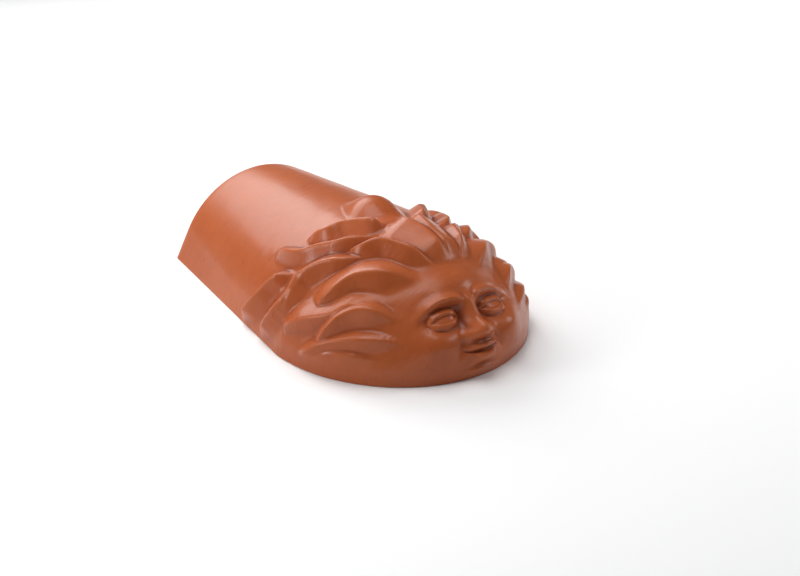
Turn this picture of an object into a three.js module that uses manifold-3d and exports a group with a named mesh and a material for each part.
// Decorative ridge tile: one fired clay piece, hollow under the barrel and the head. Sizes in mm.
// +Z up, the head looks along -Y, the plain end that joins the next tile faces +Y, x = 0 is the middle.
import * as THREE from 'three';
import Module from 'manifold-3d';

// Driving sizes of the plain form
const LENGTH = 400;
const HEAD_REACH = 144;
const BACK = { half: 108, rise: 87, lean: 27.5 };
const HEAD = { half: 136, rise: 106, lean: 17 };
const HEAD_BULGE = 0.04;

// The hollow: its own walls, sunk below the underside so that it opens there
const BARREL_WALL = 14;
const HEAD_WALL = 17;
const HOLLOW_DROP = 12;
const HOLLOW_PAST_END = 24;

// Relief
const HEAD_SWELL = 3.5;
const SKIRT = 2.0;
const BLEND = 2.4;
const RIM_BAND = 0.11;
const RIM_KEEP = 0.1;
const CREST_ROUND = 3.2;
const HOLLOWING = 1.7;
const ROOT_SHARE = 0.3;
const TIP_SHARE = 0.3;
const TIP_LEFT = 0.12;

// Locks of the mane, from the face to the tip. at: share across (0 crown, 1 rim) and
// place along (1 = start of the rounded head, 2 = front rim, 0 = plain end)
const LOCKS = [
  { name: 'topknot', rise: 15, below: [38, 34], single: true,
    at: [[-0.13, 1.0], [-0.09, 0.92], [-0.05, 0.83], [-0.01, 0.74], [0.03, 0.66]] },
  { name: 'crown', rise: 13, above: 12, below: [30, 34], root: 0.36, tip: 0.2, hollowing: 0.8,
    at: [[-0.04, 1.41], [-0.02, 1.31], [-0.02, 1.2], [0, 1.11], [0.02, 1.06]] },
  { name: 'crown tail', rise: 13, above: 12, below: [24, 22], root: 0.25,
    at: [[0.06, 1.1], [0.1, 1.06], [0.16, 0.98], [0.23, 0.91], [0.3, 0.89], [0.36, 0.82]] },
  { name: 'temple', rise: 14, above: 11, below: [26, 24], root: 0.42,
    at: [[0.04, 1.42], [0.08, 1.33], [0.14, 1.24], [0.19, 1.18], [0.27, 1.16], [0.33, 1.11]] },
  { name: 'upper', rise: 12, above: 11, below: [14, 22],
    at: [[0.09, 1.1], [0.23, 1.1], [0.33, 1.03], [0.41, 0.93], [0.48, 0.87], [0.53, 0.72]] },
  { name: 'long', rise: 13, above: 17, below: [16, 30],
    at: [[0.24, 1.27], [0.3, 1.19], [0.4, 1.15], [0.5, 1.03], [0.6, 0.98], [0.7, 0.99], [0.98, 0.86]] },
  { name: 'sweep', rise: 13, above: 24, below: [26, 24], root: 0.42,
    at: [[0.13, 1.46], [0.21, 1.39], [0.29, 1.34], [0.36, 1.3], [0.43, 1.27], [0.52, 1.26], [0.65, 1.23]] },
  { name: 'lower', rise: 12, above: 11, below: [20, 30], root: 0.25,
    at: [[0.56, 0.9], [0.64, 0.85], [0.72, 0.81], [0.81, 0.78], [0.98, 0.69]] },
  { name: 'cheek', rise: 10, above: 24, below: [12, 20], root: 0.42,
    at: [[0.31, 1.51], [0.41, 1.44], [0.54, 1.38], [0.66, 1.33], [0.84, 1.04]] },
  { name: 'jaw', rise: 12, above: 13, below: [26, 24], root: 0.45,
    at: [[0.35, 1.62], [0.46, 1.46], [0.6, 1.4], [0.73, 1.4], [0.81, 1.41]] },
  { name: 'beard', rise: 9, above: 10, below: [22, 24], root: 0.5,
    at: [[0.36, 1.74], [0.58, 1.59], [0.7, 1.51], [0.78, 1.44], [0.92, 1.33]] },
  { name: 'chin tip', rise: 6, above: 8, below: [20, 20], root: 0.5,
    at: [[0.61, 1.76], [0.69, 1.68], [0.75, 1.6], [0.81, 1.52], [0.89, 1.44]] },
];
const LOCK_STEPS = 40;
const LOCK_EVENING = 8;

// The right half mirrors the left one about a parting that lies a little to the right of the middle, and
// its flank lies a little lower
const PARTING = 0.035;
const PARTING_FADES = 0.6;
const RIGHT_SINK = 7.5;
const RIGHT_REACH = 0.32;

// The face: a plane leaning back from the chin, on which across and up are measured. Its parts follow the
// usual thirds: hairline to brow, brow to foot of the nose, foot of the nose to chin, and a face five eyes wide
const FACE = {
  origin: new THREE.Vector3(0, -178, 45),
  up: new THREE.Vector3(0, 0.52, 0.854).normalize(),
  out: new THREE.Vector3(0, -0.854, 0.52).normalize(),
  hairline: 55,
  chin: -47,
  width: 140,
};
const THIRD = (FACE.hairline - FACE.chin) / 3;
const BROW = { up: FACE.hairline - THIRD + 3, peak: FACE.width / 5 - 4, rise: 6, wide: 5 };
const EYE = { across: FACE.width / 5, up: FACE.hairline - 1.32 * THIRD, half: FACE.width / 10, tall: 10,
  rise: 7.5 };
const NOSE = { foot: FACE.chin + THIRD, bridge: 5, tip: 8, tipHalf: 10, wing: 12, wingRise: 6 };
const MOUTH = { up: FACE.chin + 0.64 * THIRD, half: 20, upper: 3.6, lower: 6.5 };
const CHEEK = { across: 42, up: FACE.chin + 1.05 * THIRD, rise: 8 };
const CHIN = { up: FACE.chin + 3, rise: 6 };

// Facets
const ROWS_BARREL = 4;
const ROWS_NECK = 16;
const ROWS_FRONT = 34;
const NECK_START = 0.64;
const COLUMNS = 80;

const radians = (degrees) => (degrees * Math.PI) / 180;
const clamp = (x, low, high) => Math.min(Math.max(x, low), high);
const smooth = (x) => {
  const t = clamp(x, 0, 1);
  return t * t * (3 - 2 * t);
};
const ridge = (x, wide) => Math.exp(-((x / wide) ** 2));
const bell = (x, y, wide, tall) => ridge(x, wide) * ridge(y, tall);
const mix = (a, b, t) => a + (b - a) * t;

/** Half of a cross section: a round crown that runs on as straight leaning sides. */
function section(share, half, rise, lean) {
  const r = (half * Math.cos(lean) - rise * Math.sin(lean)) / (1 - Math.sin(lean));
  const centre = rise - r;
  const arc = r * (Math.PI / 2 - lean);
  const straight = (centre + r * Math.sin(lean)) / Math.cos(lean);
  const run = share * (arc + straight);
  const turn = Math.min(run, arc) / r;
  const down = Math.max(run - arc, 0);
  return [r * Math.sin(turn) + down * Math.sin(lean), centre + r * Math.cos(turn) - down * Math.cos(lean)];
}

/** A point of the plain form: a tapered barrel that ends in a rounded head. */
function formPoint(form, across, along) {
  const k = Math.min(along, 1);
  const half = mix(form.back.half, form.head.half, k);
  const rise = mix(form.back.rise, form.head.rise, k);
  const lean = radians(mix(form.back.lean, form.head.lean, k));
  const f = clamp(along - 1, 0, 1);
  const u = Math.abs(across);
  const wide = u * Math.sqrt(1 - (f * f) / 2);
  const deep = f * Math.sqrt(1 - (u * u) / 2);
  const rho = Math.min(Math.hypot(wide, deep), 1);
  const ca = rho > 1e-9 ? wide / rho : 1;
  const sa = rho > 1e-9 ? deep / rho : 0;
  const [sx, sz] = section(rho, half, rise, lean);
  const tau = (rho * Math.PI) / 2;
  const swell = 1 + HEAD_BULGE * Math.sin(2 * tau) ** 2;
  const blend = sa * sa;
  const r = mix(sx / half, Math.sin(tau) * swell, blend);
  const z = mix(sz, rise * Math.cos(tau) * swell, blend);
  const reach = 1 / Math.hypot(ca / half, sa / form.reach);
  const x = Math.sign(across) * reach * r * ca;
  const y = along <= 1 ? mix(form.end, form.junction, k) : form.junction - reach * r * sa;
  return new THREE.Vector3(x, y, z - form.drop);
}

const OUTER = {
  back: BACK,
  head: HEAD,
  reach: HEAD_REACH,
  end: LENGTH / 2,
  junction: -LENGTH / 2 + HEAD_REACH,
  drop: 0,
};

/** The hollow is the same kind of form, smaller by its walls. */
function hollowForm() {
  const inner = (size, wall) => ({
    half: size.half - wall / Math.cos(radians(size.lean)) + HOLLOW_DROP * Math.tan(radians(size.lean)),
    rise: size.rise - wall + HOLLOW_DROP,
    lean: size.lean,
  });
  return {
    back: inner(BACK, BARREL_WALL),
    head: inner(HEAD, HEAD_WALL),
    reach: HEAD_REACH - HEAD_WALL,
    end: OUTER.end,
    junction: OUTER.junction,
    drop: HOLLOW_DROP,
  };
}

function formNormal(across, along) {
  const e = 1e-3;
  const du = formPoint(OUTER, across + e, along).sub(formPoint(OUTER, across - e, along));
  const dv = formPoint(OUTER, across, along + e).sub(formPoint(OUTER, across, along - e));
  return dv.cross(du).normalize();
}

/** A lock's crest as short runs, each with the direction to its broad side, and a ball round them all. */
function crestOf(lock, side) {
  const shift = (across) => (side > 0 ? 2 * PARTING * clamp(1 - across / PARTING_FADES, 0, 1) : 0);
  const place = lock.at.map(([across, along]) => new THREE.Vector3(across + shift(across), along, 0));
  const curve = new THREE.CatmullRomCurve3(place, false, 'catmullrom', 0.5);
  const places = curve.getPoints(LOCK_STEPS);
  for (let k = 0; k < LOCK_EVENING; k += 1) {
    const even = places.map((p, i) => (places[i - 1] && places[i + 1]
      ? p.clone().multiplyScalar(2).add(places[i - 1]).add(places[i + 1]).multiplyScalar(0.25) : p));
    places.splice(0, places.length, ...even);
  }
  const points = places.map(({ x, y }) => ({ at: formPoint(OUTER, side * x, y), out: formNormal(side * x, y) }));
  const runs = [];
  let total = 0;
  for (let i = 0; i < LOCK_STEPS; i += 1) {
    const from = points[i].at;
    const way = points[i + 1].at.clone().sub(from);
    const length = way.length();
    way.normalize();
    const out = points[i].out.clone().add(points[i + 1].out).multiplyScalar(0.5);
    runs.push({ from, way, length, start: total, broad: out.cross(way).multiplyScalar(-side) });
    total += length;
  }
  const ball = new THREE.Sphere().setFromPoints(runs.map((run) => run.from));
  ball.radius += Math.max(...lock.below) * 1.2;
  return { lock, runs, total, ball };
}

/** Share of its full height that a lock has at a share of the way to its tip. */
function fade({ single, root = ROOT_SHARE, tip = TIP_SHARE }, along) {
  if (single) return Math.sin(Math.PI * clamp(along, 0, 1)) ** 2;
  const fall = 1 - clamp((1 - along) / tip, 0, 1);
  return smooth(along / root) * mix(TIP_LEFT, 1, Math.sqrt(1 - fall ** 2));
}

/** Height a lock adds at a point: narrow on its upper side, broad and hollowed on its lower side. */
function lockHeight(crest, point) {
  const { lock, runs, total, ball } = crest;
  if (!ball.containsPoint(point)) return -SKIRT;
  let nearest = Infinity;
  let along = 0;
  let side = 0;
  const to = new THREE.Vector3();
  runs.forEach((run) => {
    to.copy(point).sub(run.from);
    const t = clamp(to.dot(run.way), 0, run.length);
    to.addScaledVector(run.way, -t);
    const gap = to.lengthSq();
    if (gap < nearest) {
      nearest = gap;
      along = (run.start + t) / total;
      side = to.dot(run.broad);
    }
  });
  const gap = Math.sqrt(nearest);
  const ends = fade(lock, along);
  const broad = mix(lock.below[0], lock.below[1], along) * (0.35 + 0.65 * ends);
  let share = (1 - clamp(gap / broad, 0, 1) ** 2) ** 1.4;
  if (!lock.single) {
    const soft = Math.hypot(gap, CREST_ROUND) - CREST_ROUND;
    const upper = 1 - clamp(soft / (lock.above * (0.35 + 0.65 * ends)), 0, 1);
    const lower = (1 - clamp(soft / broad, 0, 1)) ** (lock.hollowing ?? HOLLOWING);
    share = mix(upper, lower, smooth(0.5 + (0.5 * side) / Math.max(gap, 1e-6)));
  }
  return lock.rise * ends * share - SKIRT * (1 - ends * share);
}

const joined = (a, b) => Math.max(a, b) + (0.25 * Math.max(BLEND - Math.abs(a - b), 0) ** 2) / BLEND;

/** Height of the face along its own outward direction: plain rounded features of even proportions. */
function faceHeight(point) {
  const d = point.clone().sub(FACE.origin);
  const x = Math.abs(d.x);
  const up = d.dot(FACE.up);
  const front = smooth((d.dot(FACE.out) + 60) / 30);
  return front * (planes(x, up) + eyes(x - EYE.across, up - EYE.up) + nose(x, up) + mouth(x, up - MOUTH.up));
}

/** Forehead, cheeks, chin, brows and the folds beside the nose. */
function planes(x, up) {
  const forehead = 5 * bell(x, up - (FACE.hairline + BROW.up) / 2, 36, 15);
  const cheek = CHEEK.rise * bell(x - CHEEK.across, up - CHEEK.up, 19, 17);
  const chin = CHIN.rise * bell(x, up - CHIN.up, 19, 7.5);
  const arch = BROW.up + 3 - 0.012 * (x - BROW.peak) ** 2;
  const brow = BROW.rise * ridge(up - arch, BROW.wide) * smooth((x - 3) / 9) * smooth((60 - x) / 22);
  const fold = x - 18 + (up - NOSE.foot) * 0.42;
  const crease = 2.4 * ridge(fold, 4.5) * smooth((up - MOUTH.up + 6) / 10)
    * smooth((NOSE.foot + 6 - up) / 10);
  return forehead + cheek + chin + brow - crease;
}

/** A socket with a rounded eyeball between two lids; e and v are measured from the eye's centre. */
function eyes(e, v) {
  const socket = 8 * bell(e, v - 1, EYE.half + 3, EYE.tall + 1) + 4 * bell(e + EYE.half + 1, v + 2, 6, 11);
  const ball = clamp(1 - (e / (EYE.half + 2)) ** 2 - (v / EYE.tall) ** 2, 0, 1);
  const slit = clamp(1 - (e / (EYE.half + 1)) ** 2, 0, 1);
  const corner = smooth((EYE.half + 4 - Math.abs(e)) / 7);
  const upper = 2.2 * smooth((v - 5 * slit + 1.6) / 1.6) * smooth((EYE.tall - v) / 4);
  const lower = 1.6 * smooth((-v - 4.4 * slit + 1.4) / 1.4) * smooth((EYE.tall - 1 + v) / 4);
  return EYE.rise * ball ** 0.85 + (upper + lower) * corner - socket;
}

/** A straight bridge, a round tip and two wings. */
function nose(x, up) {
  const top = BROW.up + 2;
  const k = clamp((top - up) / (top - NOSE.foot), 0, 1);
  const line = smooth((top + 8 - up) / 14) * smooth((up - NOSE.foot + 4) / 8);
  const bridge = NOSE.bridge * (1 + 0.9 * k) * ridge(x, 6.5 + 3 * k) * line;
  const tip = ((x / NOSE.tipHalf) ** 2 + ((up - NOSE.foot - 5.5) / 8.5) ** 2) ** 1.3;
  const wing = (((x - NOSE.wing) / 6) ** 2 + ((up - NOSE.foot - 3.5) / 6) ** 2) ** 1.2;
  return bridge + NOSE.tip * Math.exp(-tip) + NOSE.wingRise * Math.exp(-wing);
}

/** Two closed lips, with the groove above and the dip below; v is measured from the line between them. */
function mouth(x, v) {
  const swell = 5 * bell(x, v, MOUTH.half + 3, 11);
  const bow = ridge(x, 4.5) + 0.005 * x * x;
  const upper = MOUTH.upper * ridge(v - 4.4 + bow, 3) * smooth((MOUTH.half - x) / 12);
  const lower = MOUTH.lower * ridge(v + 5.8 - 0.008 * x * x, 3.6) * smooth((MOUTH.half - 4 - x) / 11);
  const parting = 2.8 * ridge(v + 0.4 - 0.01 * x * x, 1.5) * smooth((MOUTH.half + 2 - x) / 7);
  return swell + upper + lower - parting - 0.8 * bell(x, v - 9, 3.2, 3.5) - 3.4 * bell(x, v + 12.5, 16, 3.2);
}

const CRESTS = LOCKS.flatMap((lock) => (lock.single ? [-1] : [-1, 1]).map((side) => crestOf(lock, side)));

/** Relief at a place, as [mane height, face height]. It dies out towards the rim the tile stands on. */
function reliefAt(across, along) {
  const point = formPoint(OUTER, across, along);
  const f = clamp(along - 1, 0, 1);
  const rho = Math.hypot(across * Math.sqrt(1 - (f * f) / 2), f * Math.sqrt(1 - (across * across) / 2));
  const mane = CRESTS.reduce((h, crest) => joined(h, lockHeight(crest, point)), 0)
    + HEAD_SWELL * smooth((along - 0.86) / 0.22);
  const head = smooth((along - 0.8) / 0.3) * smooth((1.75 - along) / 0.35);
  const sunk = mane - RIGHT_SINK * smooth(across / RIGHT_REACH) * head;
  const rim = mix(RIM_KEEP, 1, smooth((1 - rho) / RIM_BAND));
  return [sunk * rim, faceHeight(point) * smooth((1 - rho) / 0.07)];
}

/** A point of the carved outer skin. The relief is averaged over a facet, so narrow crests stay even. */
function carvedPoint(across, along, facet) {
  const point = formPoint(OUTER, across, along);
  if (Math.abs(across) === 1 || along === 2 || along < NECK_START) return point;
  const near = [-0.5, 0, 0.5];
  const sum = [0, 0];
  near.forEach((i) => near.forEach((j) => {
    const [mane, face] = reliefAt(clamp(across + i * facet[0], -1, 1), clamp(along + j * facet[1], 0, 2));
    sum[0] += mane / 9;
    sum[1] += face / 9;
  }));
  const out = point.clone().addScaledVector(formNormal(across, along), sum[0]);
  out.addScaledVector(FACE.out, sum[1]);
  out.z = Math.max(out.z, 0);
  return out;
}

/** Places along the tile: few over the plain barrel, close together over the mane and the face. */
function placesAlong(barrel, neck, front) {
  const list = [];
  for (let i = 0; i < barrel; i += 1) list.push((NECK_START * i) / barrel);
  for (let i = 0; i < neck; i += 1) list.push(mix(NECK_START, 1, i / neck));
  for (let i = 0; i <= front; i += 1) list.push(1 + i / front);
  return list;
}

/** A closed solid from rows of points: the skin, the flat underside and the flat plain end. */
function closedSolid(rows) {
  const columns = rows[0].length;
  const last = rows.length - 1;
  const points = rows.flat();
  const index = (i, j) => i * columns + j;
  const faces = [];
  for (let i = 0; i < last; i += 1) {
    for (let j = 0; j < columns - 1; j += 1) {
      const [a, b, c, d] = [index(i, j), index(i, j + 1), index(i + 1, j + 1), index(i + 1, j)];
      const gap = points[a].distanceTo(points[c]) - points[b].distanceTo(points[d]);
      const short = Math.abs(gap) > 1e-4 ? gap < 0 : j < (columns - 1) / 2;
      faces.push(...(short ? [[a, c, b], [a, d, c]] : [[a, d, b], [b, d, c]]));
    }
  }
  const rim = [];
  for (let i = 0; i <= last; i += 1) rim.push(index(i, 0));
  for (let j = 1; j < columns; j += 1) rim.push(index(last, j));
  for (let i = last - 1; i >= 0; i -= 1) rim.push(index(i, columns - 1));
  const end = [];
  for (let j = columns - 1; j >= 0; j -= 1) end.push(index(0, j));
  const cap = (loop, flat, outward) => {
    const outline = loop.map((k) => flat(points[k]));
    THREE.ShapeUtils.triangulateShape(outline, []).forEach((face) => {
      const [a, b, c] = face.map((k) => points[loop[k]]);
      const turn = b.clone().sub(a).cross(c.clone().sub(a)).dot(outward);
      faces.push(turn > 0 ? face.map((k) => loop[k]) : [loop[face[0]], loop[face[2]], loop[face[1]]]);
    });
  };
  cap(rim, (p) => new THREE.Vector2(p.x, p.y), new THREE.Vector3(0, 0, -1));
  cap(end, (p) => new THREE.Vector2(p.x, p.z), new THREE.Vector3(0, 1, 0));
  return { points, faces };
}

const wasm = await Module();
wasm.setup();

function toManifold({ points, faces }) {
  return new wasm.Manifold(new wasm.Mesh({
    numProp: 3,
    vertProperties: new Float32Array(points.flatMap((p) => [p.x, p.y, p.z])),
    triVerts: new Uint32Array(faces.flat()),
  }));
}

function toGeometry(solid) {
  const mesh = solid.getMesh();
  const geometry = new THREE.BufferGeometry();
  geometry.setAttribute('position', new THREE.BufferAttribute(new Float32Array(mesh.vertProperties), 3));
  geometry.setIndex(new THREE.BufferAttribute(new Uint32Array(mesh.triVerts), 1));
  geometry.computeVertexNormals();
  return geometry;
}

function outerSolid() {
  const rows = placesAlong(ROWS_BARREL, ROWS_NECK, ROWS_FRONT).map((along) => {
    const row = [];
    for (let j = 0; j <= COLUMNS; j += 1) {
      row.push(carvedPoint(-1 + (2 * j) / COLUMNS, along, [2 / COLUMNS, 1 / ROWS_FRONT]));
    }
    return row;
  });
  return toManifold(closedSolid(rows));
}

function hollowSolid() {
  const form = hollowForm();
  const columns = 24;
  const past = -HOLLOW_PAST_END / (form.end - form.junction);
  const rows = [past, 0.5, ...placesAlong(0, 0, 11)].map((along) => {
    const row = [];
    for (let j = 0; j <= columns; j += 1) row.push(formPoint(form, -1 + (2 * j) / columns, along));
    return row;
  });
  return toManifold(closedSolid(rows));
}

const clay = new THREE.MeshStandardMaterial({ color: '#b5673f', roughness: 0.42, metalness: 0 });
const tile = new THREE.Mesh(toGeometry(outerSolid().subtract(hollowSolid())), clay);
tile.name = 'ridge_tile';

// The nose stands past the front rim: the frame is centred on the whole length
tile.geometry.computeBoundingBox();
tile.geometry.translate(0, -tile.geometry.boundingBox.getCenter(new THREE.Vector3()).y, 0);

const root = new THREE.Group();
root.name = 'decorative_ridge_tile';
root.add(tile);

export default root;
